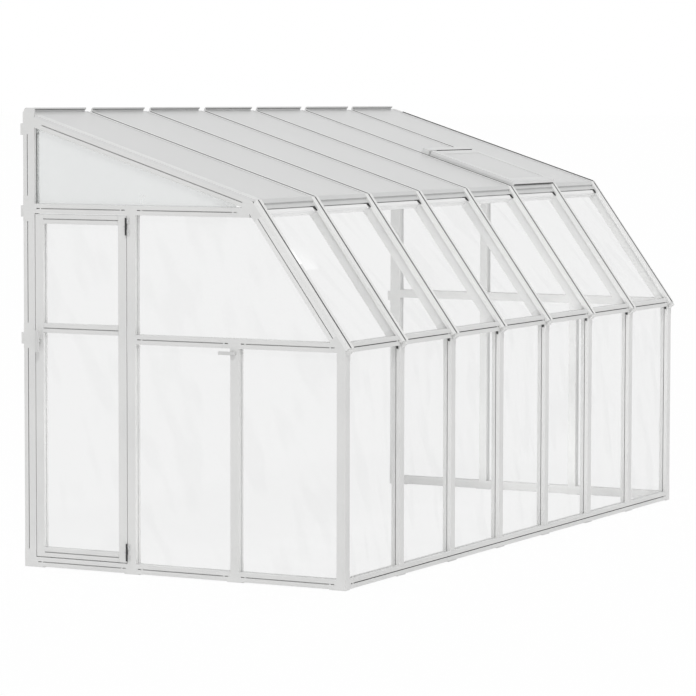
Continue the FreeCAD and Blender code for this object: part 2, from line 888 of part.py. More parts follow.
def wall_connector(i):
    x = about(post_x[i], bar / 2)
    upper_end = roof.reach(plate_front, roof_cover)
    outline = [roof.at(roof_end, roof_cover), roof.at(upper_end, roof_cover)]
    outline += [(plate_front, plate_low), roof.at(roof_end, roof_under)]
    solids = [prism(outline, x), prism(plate_outline, x)]
    solids.append(tenon(roof, (roof_end - tenon_length, roof_end), (roof_cover, roof_under), x))
    for toward in sideways(i):
        end = post_x[i] + toward * arm_reach
        solids.append(prism(plate_outline, (post_x[i] + toward * bar / 2, end)))
        solids.append(plate_plug((end, end + toward * tenon_length), chamber / 2 - fit))
    cutters = [roof_bar_room[i]]
    if i in (0, bay_count):
        side = -1 if i == 0 else 1
        solids += wall_corner(side)
        cutters += end_slots[side]
        cutters.append(wall_hole(side, plate_low))
    return carved(joined(solids), cutters)


save("wall_connectors", [wall_connector(i) for i in range(bay_count + 1)])


# Flashing on the wall plate, one length in each bay between the glazing bars; the first length also
# covers the corner
def flashing(i):
    ends = [post_x[i] + cap_half + joint_gap, post_x[i + 1] - cap_half - joint_gap]
    if i == 0:
        ends[0] = -half_length + web + joint_gap
    lip_under = top_z - lip_thickness
    back = wall_v - web
    front = wall_v - lip_reach
    outline = [roof.at_v(back, roof_seat), roof.at_v(wall_v, roof_seat), (wall_v, top_z)]
    outline += [(front, top_z), (front, lip_under), (back, lip_under)]
    corner_top = [roof.at_v(back, 0), roof.at_v(wall_v, 0), (wall_v, plate_low), (back, plate_low)]
    corner = prism(corner_top, end_x(-1, 0, corner_width + joint_gap))
    whole = rounded(prism(outline, ends), Vector(1, 0, 0), flashing_radius, back_top)
    return carved(whole, [corner])


save("wall_flashing", [flashing(i) for i in range(bay_count)])

# Spacers that hold the wall posts clear of what they are screwed to, drilled for the screws
wall_spacers = []
for side in (-1, 1):
    for z in wall_node_z + [plate_low]:
        low = z - spacer_rise - spacer_height / 2
        x = end_x(side, bar - spacer_width, bar)
        spacer = block(x, (wall_v, wall_v + spacer_depth), (low, low + spacer_height))
        wall_spacers.append(spacer.cut(wall_hole(side, z)))
save("wall_spacers", wall_spacers)

# Door leaf in the left end wall: two stiles, three rails with a groove along the face, two panes
door_x = end_x(-1, 0, door_thickness)
door_v = (opening_front + door_gap, wall_front - door_gap)
door_z = (base_top + door_sill_gap, head_low - door_sill_gap)
door_glass_v = (door_v[0] + stile, door_v[1] - stile)
door_rail_z = [door_z[0] + stile / 2, door_rail_height, door_z[1] - stile / 2]


def door_pane(low, spare):
    """Pane above one of the lower two rails."""
    grow = bite + spare
    z = (door_rail_z[low] + stile / 2 - grow, door_rail_z[low + 1] - stile / 2 + grow)
    x = about(middle(door_x), pane / 2 + spare)
    return block(x, (door_glass_v[0] - grow, door_glass_v[1] + grow), z)


door_slots = [door_pane(low, fit) for low in (0, 1)]
save("door_panes", [door_pane(low, 0) for low in (0, 1)])
door_rails = []
for z in door_rail_z:
    rail = tube(level, door_glass_v, (-z - stile / 2, -z + stile / 2), door_x)
    groove = strip(level, door_glass_v, about(-z, groove_width / 2), end_x(-1, 0, groove_depth))
    door_rails.append(carved(rail, door_slots + [groove]))
save("door_rails", door_rails)

# Door hinges: the post side carries the pin and the outer knuckles, the stile the middle knuckle
axis_x = -half_length - hinge_out
axis_v = opening_front + door_gap / 2
hinge_levels = (door_z[0] + hinge_inset, door_z[1] - hinge_inset)


def knuckle(z, radius):
    return Part.makeCylinder(radius, max(z) - min(z), Vector(axis_x, axis_v, min(z)))


def hinge_leaf(z, toward):
    """Plate on the outer face beside the hinge axis, with the tab that reaches its knuckle."""
    plate_v = (axis_v + toward * (door_gap / 2 + fit), axis_v + toward * hinge_plate_width)
    plate = block((-half_length - hinge_plate, -half_length), plate_v, z)
    tab = block((axis_x, -half_length - hinge_plate / 2), (axis_v, plate_v[0] + toward * hinge_plate), z)
    return [plate, tab]


def post_leaf(level_z):
    """Hinge part on the door post."""
    third = hinge_height / 3
    low = level_z - hinge_height / 2
    solids = [knuckle((low, low + hinge_height), hinge_pin)]
    for start in (low, low + 2 * third):
        z = (start, start + third)
        solids.append(knuckle(z, hinge_knuckle))
        solids += hinge_leaf(z, -1)
    return joined(solids)


def door_leaf_knuckle(level_z):
    """Hinge part on the hinge stile, with the bore for the pin."""
    third = hinge_height / 3
    z = about(level_z, third / 2 - hinge_slot)
    solids = [knuckle(z, hinge_knuckle)] + hinge_leaf(z, 1)
    return joined(solids).cut(knuckle(z, hinge_pin + running))


save("door_hinges", [post_leaf(z) for z in hinge_levels])
hinge_stile = tube(upright, door_z, (door_v[0], door_glass_v[0]), door_x)
hinge_stile = carved(hinge_stile, door_slots)
save("door_hinge_stile", [joined([hinge_stile] + [door_leaf_knuckle(z) for z in hinge_levels])])

# Latch stile and the handle that turns in it; the tongue swings behind the wall post
handle_v = door_v[1] - handle_inset
latch_stile = tube(upright, door_z, (door_glass_v[1], door_v[1]), door_x)
spindle_hole = rod(door_x, handle_v, handle_height, spindle + running)
save("door_latch_stile", [carved(latch_stile, door_slots + [spindle_hole])])

grip_out = -half_length - grip_standoff
grip_x = (grip_out - grip_thickness, grip_out)
grip = block(grip_x, about(handle_v, grip_width / 2), about(handle_height, grip_length / 2))
grip = rounded(grip, Vector(0, 0, 1), grip_radius)
tongue_x = end_x(-1, bar + tongue_gap, bar + tongue_gap + tongue_thickness)
tongue_z = (handle_height - tongue_length, handle_height + tongue_width / 2)
tongue = block(tongue_x, about(handle_v, tongue_width / 2), tongue_z)
shaft = rod((grip_out, max(tongue_x)), handle_v, handle_height, spindle)
save("door_handle", [joined([grip, shaft, tongue])])

# Door holder: a turning bar on the left mid post, on a pin that enters the post
holder_face = -half_length - holder_standoff
holder_x = (holder_face - holder_thickness, holder_face)
holder_v = (mid_post_v - holder_width / 2, mid_post_v - holder_width / 2 + holder_length)
holder = block(holder_x, holder_v, about(holder_height, holder_width / 2))
holder = rounded(holder, Vector(1, 0, 0), bar_radius)
boss = rod((holder_face, -half_length - fit), mid_post_v, holder_height, holder_boss)
pin = rod((holder_face, -half_length + holder_pin_depth), mid_post_v, holder_height, holder_pin)
save("door_holder", [joined([holder, boss, pin])])

# Roof vent: a header across the two rafters, carrying the hinge pins
vent_x = (post_x[vent_bay] + vent_inset, post_x[vent_bay + 1] - vent_inset)
vent_centre = middle(vent_x)
vent_s = (vent_low, vent_low + vent_length)
hinge_s = vent_s[1] + hinge_channel
vent_depth = (-vent_top, -vent_top + vent_edge)
hinge_depth = middle(vent_depth)
header_s = (hinge_s + hinge_channel, hinge_s + hinge_channel + header_width)
inner_x = (post_x[vent_bay] + bar / 2, post_x[vent_bay + 1] - bar / 2)
gap_x = (post_x[vent_bay] + cap_half + fit, post_x[vent_bay + 1] - cap_half - fit)


def vent_rod(x, radius):
    v, z = roof.at(hinge_s, hinge_depth)
    return rod(x, v, z, radius)


def hinge_places():
    return [vent_centre - vent_hinge_offset, vent_centre + vent_hinge_offset]


def knuckle_web(x, s):
    """Bridge between a knuckle and its bar."""
    return strip(roof, s, about(hinge_depth, vent_knuckle / 2), x)


header = [strip(roof, header_s, (vent_depth[0], 0), vent_x)]
panel_edge = header_s[0] + trimmer_width / 2
header.append(strip(roof, (panel_edge - fit, header_s[1]), (0, roof_flange), gap_x))
header.append(strip(roof, (header_s[0], panel_edge - fit), (0, roof_seat), gap_x))
for x in hinge_places():
    half = vent_knuckle_length / 2
    header.append(vent_rod(about(x, 2 * half), vent_pin))
    for toward in (-1, 1):
        span = (x + toward * (half + ear_gap), x + toward * 2 * half)
        header.append(vent_rod(span, vent_knuckle))
        header.append(knuckle_web(span, (hinge_s, header_s[0])))
trimmer = strip(roof, (trimmer_start, trimmer_start + trimmer_width), (roof_seat, roof_seat + bar), inner_x)
save("vent_header", [joined(header), trimmer])

# Vent sash: a frame over the glazing bars, with a rim below it and a rebate for its panel
window_x = (vent_x[0] + vent_border, vent_x[1] - vent_border)
window_s = (vent_s[0] + vent_border, vent_s[1] - vent_border)
lip_depth = vent_depth[0] + vent_lip


def ring(outer_s, outer_x, width, depth):
    inside_s = (outer_s[0] + width, outer_s[1] - width)
    inside_x = (outer_x[0] + width, outer_x[1] - width)
    return strip(roof, outer_s, depth, outer_x).cut(strip(roof, inside_s, depth, inside_x))


def vent_panel(spare):
    grow = vent_rebate + spare
    s = (window_s[0] - grow, window_s[1] + grow)
    x = (window_x[0] - grow, window_x[1] + grow)
    return strip(roof, s, (lip_depth, lip_depth + panel), x)


sash = ring(vent_s, vent_x, vent_border, vent_depth).cut(vent_panel(fit))
rim_s = (vent_s[0] + rim_setback, vent_s[1] - rim_setback)
rim_x = (vent_x[0] + rim_setback, vent_x[1] - rim_setback)
sash_parts = [sash, ring(rim_s, rim_x, rim_width, (vent_depth[1], -fit))]
for x in hinge_places():
    span = about(x, vent_knuckle_length / 2)
    sash_parts.append(vent_rod(span, vent_knuckle))
    sash_parts.append(knuckle_web(span, (vent_s[1], hinge_s)))

# Ears for the stay, on a bridge below the lower bar of the sash
pivot_s = vent_s[0] + stay_pivot
stay_x = about(vent_centre, stay_thickness / 2)
ear_s = (vent_s[0] + ear_setback, pivot_s + ear_length / 2)
ear_low = stay_depth + stay_width / 2


def stay_rod(x, radius):
    v, z = roof.at(pivot_s, stay_depth)
    return rod(x, v, z, radius)


for toward in (-1, 1):
    near = vent_centre + toward * (stay_thickness / 2 + ear_gap)
    ear_x = (near, near + toward * ear_thickness)
    sash_parts.append(strip(roof, ear_s, (vent_depth[1], ear_low), ear_x))
sash_parts.append(stay_rod(about(vent_centre, stay_thickness / 2 + ear_gap + ear_thickness), stay_pin))
sash_whole = joined(sash_parts)
for x in hinge_places():
    sash_whole = sash_whole.cut(vent_rod(about(x, vent_knuckle_length), vent_pin + running))
save("vent_sash", [sash_whole])
save("vent_panel", [vent_panel(0)])

# Stay folded up below the vent panel, with a round eye on the pin between the ears
stay_bar = strip(roof, (pivot_s, pivot_s + stay_length), about(stay_depth, stay_width / 2), stay_x)
eye = stay_rod(stay_x, stay_width / 2)
save("vent_stay", [joined([stay_bar, eye]).cut(stay_rod(stay_x, stay_pin + running))])
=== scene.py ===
import json
import math

import bmesh
import bpy
from mathutils import Matrix, Vector


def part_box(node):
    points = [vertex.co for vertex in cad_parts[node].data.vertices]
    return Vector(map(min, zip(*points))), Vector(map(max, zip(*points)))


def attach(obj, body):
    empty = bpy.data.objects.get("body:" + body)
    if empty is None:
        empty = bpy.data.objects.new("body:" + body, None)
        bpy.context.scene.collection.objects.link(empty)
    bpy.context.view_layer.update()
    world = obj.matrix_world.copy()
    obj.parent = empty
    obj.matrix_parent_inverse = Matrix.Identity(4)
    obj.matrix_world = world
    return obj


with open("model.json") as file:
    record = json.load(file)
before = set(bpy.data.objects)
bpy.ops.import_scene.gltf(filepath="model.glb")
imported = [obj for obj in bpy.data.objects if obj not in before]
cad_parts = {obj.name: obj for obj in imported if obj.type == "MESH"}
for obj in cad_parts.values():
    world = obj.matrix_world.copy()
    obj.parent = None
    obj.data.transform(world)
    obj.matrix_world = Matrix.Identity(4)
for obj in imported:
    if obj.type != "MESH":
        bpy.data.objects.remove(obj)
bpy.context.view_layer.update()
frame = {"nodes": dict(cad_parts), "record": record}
nodes = frame["nodes"]

# Base: one long rail below the front, shorter rails below the ends, tee and corner connectors
# between them, and foot plates on the ground. All are off-white satin resin, extruded or moulded,
# and the bars slide over the connectors' stubs.
BASE_PIECES = ["base_rail_front", "base_rail_left", "base_rail_right", "base_connectors", "base_feet"]
RESIN = (0.73, 0.73, 0.723, 1.0)
RESIN_SHADE = (0.695, 0.696, 0.69, 1.0)
RESIN_IOR = 1.46
SATIN = 0.34
CLOUD = {"scale": 3.0, "detail": 4.0}
CLOUD_SPAN = (0.3, 0.7)
CLOUD_ROUGHNESS = 0.12
GRAIN = {"scale": 420.0, "detail": 2.0}
GRAIN_BUMP = {"Strength": 0.05, "Distance": 0.0004}
# Painted shade for grooves and recesses, mixed in where a piece's own ambient occlusion is deep.
GROOVE_PAINTED_SHADE = (0.36, 0.361, 0.358, 1.0)
GROOVE_REACH = 0.009
GROOVE_SPAN = (0.2, 0.5)
GROOVE_SAMPLES = 6


class Value:
    """One output socket of a material, so that numbers can be written as expressions."""

    def __init__(self, tree, socket):
        self.tree = tree
        self.socket = socket

    def node(self, kind, settings=None, **sockets):
        """Adds a node. A socket goes by its name, or by its number as i0, i1 and so on."""
        made = self.tree.nodes.new(kind)
        for name, setting in (settings or {}).items():
            setattr(made, name, setting)
        for name, given in sockets.items():
            numbered = name[0] == "i" and name[1:].isdigit()
            target = made.inputs[int(name[1:]) if numbered else name.replace("_", " ")]
            if isinstance(given, Value):
                self.tree.links.new(given.socket, target)
            else:
                target.default_value = given
        return made

    def out(self, kind, settings=None, result=0, **sockets):
        """Adds a node and gives one of its results."""
        return Value(self.tree, self.node(kind, settings, **sockets).outputs[result])

    def maths(self, operation, *values):
        sockets = {"i%d" % place: given for place, given in enumerate(values)}
        return self.out("ShaderNodeMath", {"operation": operation}, **sockets)

    def __add__(self, other):
        return self.maths("ADD", self, other)

    def __radd__(self, other):
        return self.maths("ADD", other, self)

    def __sub__(self, other):
        return self.maths("SUBTRACT", self, other)

    def __rsub__(self, other):
        return self.maths("SUBTRACT", other, self)

    def __mul__(self, other):
        return self.maths("MULTIPLY", self, other)

    def __rmul__(self, other):
        return self.maths("MULTIPLY", other, self)

    def along(self, axis):
        """The part of a vector along X, Y or Z."""
        return self.out("ShaderNodeSeparateXYZ", result=axis, Vector=self)

    def dot(self, direction):
        """The part of a vector along any direction."""
        settings = {"operation": "DOT_PRODUCT"}
        return self.out("ShaderNodeVectorMath", settings, result="Value", i0=self, i1=direction)

    def clamped(self, low, high):
        """0 where the value is low or less, 1 where it is high or more, smooth between."""
        settings = {"interpolation_type": "SMOOTHSTEP"}
        return self.out("ShaderNodeMapRange", settings, Value=self, From_Min=low, From_Max=high)

    def mixed(self, first, second):
        """The first colour where the value is 0, the second where it is 1, by a Mix node's colour sockets."""
        settings = {"data_type": "RGBA"}
        return self.out("ShaderNodeMix", settings, result=2, i0=self, i6=first, i7=second)

    def noise(self, scale, detail):
        return self.out("ShaderNodeTexNoise", Vector=self, Scale=scale, Detail=detail)

    def openness(self, reach):
        """1 in the open, 0 in a deep corner of this piece."""
        settings = {"samples": GROOVE_SAMPLES, "only_local": True}
        return self.out("ShaderNodeAmbientOcclusion", settings, result="AO", Distance=reach)


def new_material(name):
    """An empty material and its Object coordinates."""
    material = bpy.data.materials.new(name)
    material.use_nodes = True
    tree = material.node_tree
    tree.nodes.clear()
    return material, Value(tree, tree.nodes.new("ShaderNodeTexCoord").outputs["Object"])


def close(place, shader):
    """Joins a shader to the material's surface."""
    surface = place.tree.nodes.new("ShaderNodeOutputMaterial").inputs["Surface"]
    place.tree.links.new(shader.socket, surface)


def dress(names, material):
    """Gives nodes of the frame their finish."""
    for name in names:
        nodes[name].data.materials.clear()
        nodes[name].data.materials.append(material)


def clouded(cloud, light, shade):
    """Faint clouding between two tones."""
    return cloud.clamped(*CLOUD_SPAN).mixed(light, shade)


def satin(place, tone, roughness):
    """Closes a material as satin resin with a fine grain."""
    close(place, place.out(
        "ShaderNodeBsdfPrincipled",
        Base_Color=tone,
        Roughness=roughness,
        Normal=place.out("ShaderNodeBump", Height=place.noise(**GRAIN), **GRAIN_BUMP),
        IOR=RESIN_IOR,
    ))


def resin(name, light, shade, roughness, groove):
    """Satin resin with painted shade in its grooves and recesses, from the piece's own ambient occlusion."""
    material, place = new_material(name)
    cloud = place.noise(**CLOUD)
    # Painted shade: the deeper a spot of the piece, the nearer its colour to the groove tone.
    depth = place.openness(GROOVE_REACH).clamped(*GROOVE_SPAN)
    tone = depth.mixed(groove, clouded(cloud, light, shade))
    satin(place, tone, roughness + CLOUD_ROUGHNESS * cloud)
    return material


frame_resin = resin("frame_resin", RESIN, RESIN_SHADE, SATIN, GROOVE_PAINTED_SHADE)
dress(BASE_PIECES, frame_resin)

# Seal of the front base rail: one long strip of black rubber, which is pressed into the groove along
# the rail's front face and lies a little below that face.
# The seals' black rubber; on the hinge barrels and on strips in shadowed gaps it is painted shade.
RUBBER_AND_PAINTED_SHADE = (0.03, 0.03, 0.031, 1.0)
RUBBER_DUSTY = (0.065, 0.065, 0.064, 1.0)
RUBBER_ROUGHNESS = 0.55
RUBBER_IOR = 1.5
DUST = {"scale": 60.0, "detail": 5.0}
DUST_SPAN = (0.35, 0.8)
DUST_ROUGHNESS = 0.25
PITS = {"scale": 900.0, "detail": 2.0}
PITS_BUMP = {"Strength": 0.1, "Distance": 0.0003}
BASE_SEAL = 0.0036
SEAL_RECESS = 0.0006
SEAL_DEPTH = 0.005
EASED_SHARE = 0.2
ALONG_X = Vector((1, 0, 0))
ALONG_Y = Vector((0, 1, 0))
ALONG_Z = Vector((0, 0, 1))


def rubber(name):
    """Dull black rubber with a bloom of dust, which also serves as painted shade."""
    material, place = new_material(name)
    dust = place.noise(**DUST)
    close(place, place.out(
        "ShaderNodeBsdfPrincipled",
        Base_Color=dust.clamped(*DUST_SPAN).mixed(RUBBER_AND_PAINTED_SHADE, RUBBER_DUSTY),
        Roughness=RUBBER_ROUGHNESS + DUST_ROUGHNESS * dust,
        Normal=place.out("ShaderNodeBump", Height=place.noise(**PITS), **PITS_BUMP),
        IOR=RUBBER_IOR,
    ))
    return material


def extruded(shape, outline, start, along, across, up):
    """Adds a bar to a bmesh: an outline of (across, up) points at the start, drawn out along a vector."""
    ring = [shape.verts.new(start + a * across + b * up) for a, b in outline]
    face = shape.faces.new(ring)
    drawn = bmesh.ops.extrude_face_region(shape, geom=[face])["geom"]
    moved = [item for item in drawn if isinstance(item, bmesh.types.BMVert)]
    bmesh.ops.translate(shape, verts=moved, vec=along)


def finished(name, shape, material, body):
    """Makes a piece of a bmesh, with its normals outward, on a body and with the record's finish."""
    bmesh.ops.recalc_face_normals(shape, faces=shape.faces)
    mesh = bpy.data.meshes.new(name)
    shape.to_mesh(mesh)
    shape.free()
    mesh.materials.append(material)
    piece = bpy.data.objects.new(name, mesh)
    bpy.context.scene.collection.objects.link(piece)
    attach(piece, body)


def flat_strip(width):
    """Outline of a strip in a groove, a little below the face, with its front edges eased."""
    ease = EASED_SHARE * width
    return [
        (-width / 2, -SEAL_DEPTH),
        (width / 2, -SEAL_DEPTH),
        (width / 2, -SEAL_RECESS - ease),
        (width / 2 - ease, -SEAL_RECESS),
        (ease - width / 2, -SEAL_RECESS),
        (-width / 2, -SEAL_RECESS - ease),
    ]


rubber_and_painted_shade = rubber("rubber_and_painted_shade")
front_low, front_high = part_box("base_rail_front")
base_middle = (front_low.z + front_high.z) / 2
base_run = (front_high.x - front_low.x) * ALONG_X
base_seal = bmesh.new()
start = Vector((front_low.x, front_low.y, base_middle))
extruded(base_seal, flat_strip(BASE_SEAL), start, base_run, ALONG_Z, -ALONG_Y)
finished("base_rail_seal", base_seal, rubber_and_painted_shade, "frame")

# Walls: eight front posts, the eave rail in lengths between moulded connectors, the posts, rails and
# connectors of the two ends, and the spacers behind the wall posts. Hollow resin extrusions, locked
# on the connectors' stubs by keys in slots that carry a deep painted shade.
# Deep painted shade for the slots of the moulded connectors.
SLOT_PAINTED_SHADE = (0.02, 0.02, 0.02, 1.0)
DULL = 0.36
BARS = range(1, 9)
FRONT_POSTS = ["front_post_%d" % number for number in BARS]
WALL_PIECES = FRONT_POSTS + ["eave_rail", "eave_connectors", "door_post", "inner_post", "wall_spacers"]
for hand in ("left", "right"):
    WALL_PIECES += [piece + hand for piece in ("mid_post_", "wall_post_", "head_rail_", "mid_rail_")]
dress(WALL_PIECES, frame_resin)
dress(["end_connectors"], resin("connector_resin", RESIN, RESIN_SHADE, DULL, SLOT_PAINTED_SHADE))

# Seals of the eave rail: black rubber strips, pressed into the groove along the rail's front face, with
# one length between each pair of rafter feet.
EAVE_SEAL = 0.0046
CONNECTOR_ARM = 0.066
post_boxes = [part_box(name) for name in FRONT_POSTS]
post_x = [(low.x + high.x) / 2 for low, high in post_boxes]
post_front = post_boxes[0][0].y
eave_low, eave_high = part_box("eave_rail")
eave_middle = (eave_low.z + eave_high.z) / 2
eave_seal = bmesh.new()
for left, right in zip(post_x, post_x[1:]):
    start = Vector((left + CONNECTOR_ARM, post_front, eave_middle))
    run = (right - left - 2 * CONNECTOR_ARM) * ALONG_X
    extruded(eave_seal, flat_strip(EAVE_SEAL), start, run, ALONG_Z, -ALONG_Y)
finished("eave_rail_seals", eave_seal, rubber_and_painted_shade, "frame")

# Plugs at the upper right corners of the front panes: small black rubber wedges between the pane,
# the post and the underside of the eave rail, pressed in from outside.
POST_WIDTH = 0.050
PLUG_WIDTH = 0.0055
PLUG_TIP = PLUG_WIDTH / 3
PLUG_HEIGHT = 0.018
PLUG_SETBACK = 0.012
PLUG_DEPTH = 0.009
plug_outline = [
    (0.0, 0.0),
    (-PLUG_WIDTH, 0.0),
    (-PLUG_WIDTH, -PLUG_HEIGHT / 2),
    (-PLUG_TIP, -PLUG_HEIGHT),
    (0.0, -PLUG_HEIGHT),
]
plugs = bmesh.new()
for x in post_x[1:]:
    start = Vector((x - POST_WIDTH / 2, post_front + PLUG_SETBACK, eave_low.z))
    extruded(plugs, plug_outline, start, PLUG_DEPTH * ALONG_Y, ALONG_X, ALONG_Z)
finished("front_pane_plugs", plugs, rubber_and_painted_shade, "frame")

# Slanted eave: rafter bars from the eave to the knee, where the slope turns into the roof, and caps that
# clamp the panes on them. Both are resin, painted lighter than the walls for the light the slope catches.
# Painted light: a lighter copy of the frame's resin for the pieces on the slope.
SLOPE_PAINTED_LIGHT = (0.80, 0.80, 0.792, 1.0)
SLOPE_PAINTED_LIGHT_DARKER = (0.765, 0.766, 0.76, 1.0)
GLOSSY = 0.26
SLANT_PIECES = ["slant_rafter_%d" % number for number in BARS] + ["slant_caps"]
dress(SLANT_PIECES, resin("slope_painted_light_resin", SLOPE_PAINTED_LIGHT, SLOPE_PAINTED_LIGHT_DARKER, GLOSSY, GROOVE_PAINTED_SHADE))

# Seals on the caps: black rubber with a stem, which is pressed into the groove along the cap, and a
# low rounded head over it.
SLOPE_OVERHANG = 0.019
SLOPE_FOOT = 1.2175
SLOPE_RUN = 0.531
SLOPE_RISE = 0.733
SEAL_HEAD = 0.0092
SEAL_STEM = 0.0048
SEAL_CROWN = 0.0016
SEAL_END = 0.003


def headed_strip(crown):
    """Outline of a seal with a stem in a groove and a rounded head of a given height over it."""
    half = SEAL_HEAD / 2
    shoulder = half - crown / 2
    stem = SEAL_STEM / 2
    return [
        (-stem, -SEAL_DEPTH),
        (stem, -SEAL_DEPTH),
        (stem, 0.0),
        (half, 0.0),
        (half, crown / 2),
        (shoulder, crown),
        (-shoulder, crown),
        (-half, crown / 2),
        (-half, 0.0),
        (-stem, 0.0),
    ]


slope_length = math.hypot(SLOPE_RUN, SLOPE_RISE)
slope_along = Vector((0, SLOPE_RUN, SLOPE_RISE)) / slope_length
slope_out = Vector((0, -SLOPE_RISE, SLOPE_RUN)) / slope_length
slope_foot = Vector((0, post_front - SLOPE_OVERHANG, SLOPE_FOOT))
cap_run = (slope_length - 2 * SEAL_END) * slope_along
cap_seals = bmesh.new()
for x in post_x:
    start = slope_foot + x * ALONG_X + SEAL_END * slope_along
    extruded(cap_seals, headed_strip(SEAL_CROWN), start, cap_run, ALONG_X, slope_out)
finished("slant_cap_seals", cap_seals, rubber_and_painted_shade, "frame")

# Knee rail and its connectors: one resin profile along the whole edge, with a step that the upper edges of
# the slanted panes lie against. It is painted grey outside as shade under the roof's edge and pale behind
# the panes as light; its ends match the frame.
KNEE_PAINTED_SHADE = (0.61, 0.615, 0.611, 1.0)
KNEE_PAINTED_SHADE_DARKER = (0.585, 0.59, 0.586, 1.0)
# PALE is the beads' resin, and on the knee rail it is painted light behind the panes.
PALE = (0.86, 0.86, 0.855, 1.0)
PALE_SHADE = (0.83, 0.83, 0.826, 1.0)
SMOOTH = 0.30
PANE_FACE = 0.018
PANE_BACK = 0.021
KNEE_END = 0.050
KNEE_END_EDGE = 0.001


def knee_painted_resin(name):
    """Painted shade outside, painted light behind the slanted panes, the frame's tone at both ends."""
    material, place = new_material(name)
    cloud = place.noise(**CLOUD)
    # Painted shade on the outside, under the roof's edge, and painted light behind the panes.
    outer = clouded(cloud, KNEE_PAINTED_SHADE, KNEE_PAINTED_SHADE_DARKER)
    inside_painted_light = clouded(cloud, PALE, PALE_SHADE)
    end = clouded(cloud, RESIN, RESIN_SHADE)
    face = slope_foot.dot(slope_out) - PANE_FACE
    back = slope_foot.dot(slope_out) - PANE_BACK
    tone = place.dot(slope_out).clamped(back, face).mixed(inside_painted_light, outer)
    from_middle = place.maths("ABSOLUTE", place.along("X"))
    inner_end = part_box("knee_connectors")[1].x - KNEE_END
    tone = from_middle.clamped(inner_end - KNEE_END_EDGE, inner_end).mixed(tone, end)
    satin(place, tone, SMOOTH + CLOUD_ROUGHNESS * cloud)
    return material


dress(["knee_rail", "knee_connectors"], knee_painted_resin("knee_painted_resin"))

# Beads near the upper edges of the slanted panes: one strip of pale resin lies on each pane between the
# caps, a little below the knee rail. Its lower edge is thinned.
PANE_TOP = 0.050
PANE_CLEAR = 0.0002
CAP_HALF = 0.037
BEAD_DROP = 0.006
BEAD_WIDTH = 0.022
BEAD_THICKNESS = 0.005
BEAD_LIP = BEAD_THICKNESS / 3
BEAD_MARGIN = (0.002, 0.030)
pane_corner = slope_foot + (slope_length - PANE_TOP) * slope_along + (PANE_CLEAR - PANE_FACE) * slope_out
bead_outline = [
    (0.0, 0.0),
    (BEAD_WIDTH, 0.0),
    (BEAD_WIDTH, BEAD_LIP),
    (BEAD_WIDTH - BEAD_THICKNESS, BEAD_THICKNESS),
    (0.0, BEAD_THICKNESS),
]
beads = bmesh.new()
for left, right in zip(post_x, post_x[1:]):
    start = pane_corner + (left + CAP_HALF + BEAD_MARGIN[0]) * ALONG_X - BEAD_DROP * slope_along
    run = (right - left - 2 * CAP_HALF - sum(BEAD_MARGIN)) * ALONG_X
    extruded(beads, bead_outline, start, run, -slope_along, slope_out)
pale_resin = resin("pale_resin", PALE, PALE_SHADE, SMOOTH, PALE_SHADE)
finished("slant_pane_beads", beads, pale_resin, "frame")

# Black wedges at the upper right corners of the slanted panes, with a hollow edge: they fill the corner
# between the knee rail and the cap and paint the shade of the gap there.
WEDGE_THICKNESS = 0.0055
WEDGE_LENGTH = 0.048
WEDGE_HEIGHT = 0.028
WEDGE_HOLLOW = ((WEDGE_LENGTH / 2, WEDGE_HEIGHT / 6), (WEDGE_LENGTH / 5, WEDGE_HEIGHT / 2.5))
wedge_outline = [(0.0, 0.0), (WEDGE_LENGTH, 0.0), *WEDGE_HOLLOW, (0.0, WEDGE_HEIGHT)]
wedges = bmesh.new()
for x in post_x[1:]:
    start = pane_corner + (x - CAP_HALF) * ALONG_X
    extruded(wedges, wedge_outline, start, WEDGE_THICKNESS * slope_out, -ALONG_X, -slope_along)
finished("slant_pane_corner_shade", wedges, rubber_and_painted_shade, "frame")

# Roof: rafter bars with thin glazing bars on top, the plate along the back, its connectors, and the
# flashing whose lip hangs over the upper edge of the panels. All are resin, and the glazing bars and
# the flashing are as grey as the sheets.
ROOF_GREY = (0.70, 0.702, 0.698, 1.0)
ROOF_GREY_SHADE = (0.675, 0.678, 0.675, 1.0)
roof_resin = resin("roof_resin", ROOF_GREY, ROOF_GREY_SHADE, SMOOTH, GROOVE_PAINTED_SHADE)
dress(["roof_rafters", "wall_plate", "wall_connectors"], frame_resin)
dress(["roof_glazing_bars", "wall_flashing"], roof_resin)

# Seals on the glazing bars: black rubber, headed like those of the caps, on all but the left edge of
# the roof. The one along the right edge stands higher, to stop the rain.
ROOF_PITCH = math.radians(17.7)
BAR_END_GAP = 0.028
EDGE_CROWN = 0.0045
roof_along = Vector((0, math.cos(ROOF_PITCH), math.sin(ROOF_PITCH)))
roof_out = Vector((0, -math.sin(ROOF_PITCH), math.cos(ROOF_PITCH)))
knee = slope_foot + slope_length * slope_along
wall_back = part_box("wall_plate")[1].y
wall_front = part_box("wall_post_left")[0].y


def roof_reach(y):
    """Distance up the roof from the knee to a place in y."""
    return (y - knee.y) / roof_along.y


bar_seals = bmesh.new()
for x in post_x[1:]:
    at_edge = x == post_x[-1]
    stop = roof_reach(wall_front if at_edge else wall_back - BAR_END_GAP)
    start = knee + x * ALONG_X + SEAL_END * roof_along
    outline = headed_strip(EDGE_CROWN if at_edge else SEAL_CROWN)
    extruded(bar_seals, outline, start, (stop - 2 * SEAL_END) * roof_along, ALONG_X, roof_out)
finished("roof_bar_seals", bar_seals, rubber_and_painted_shade, "frame")

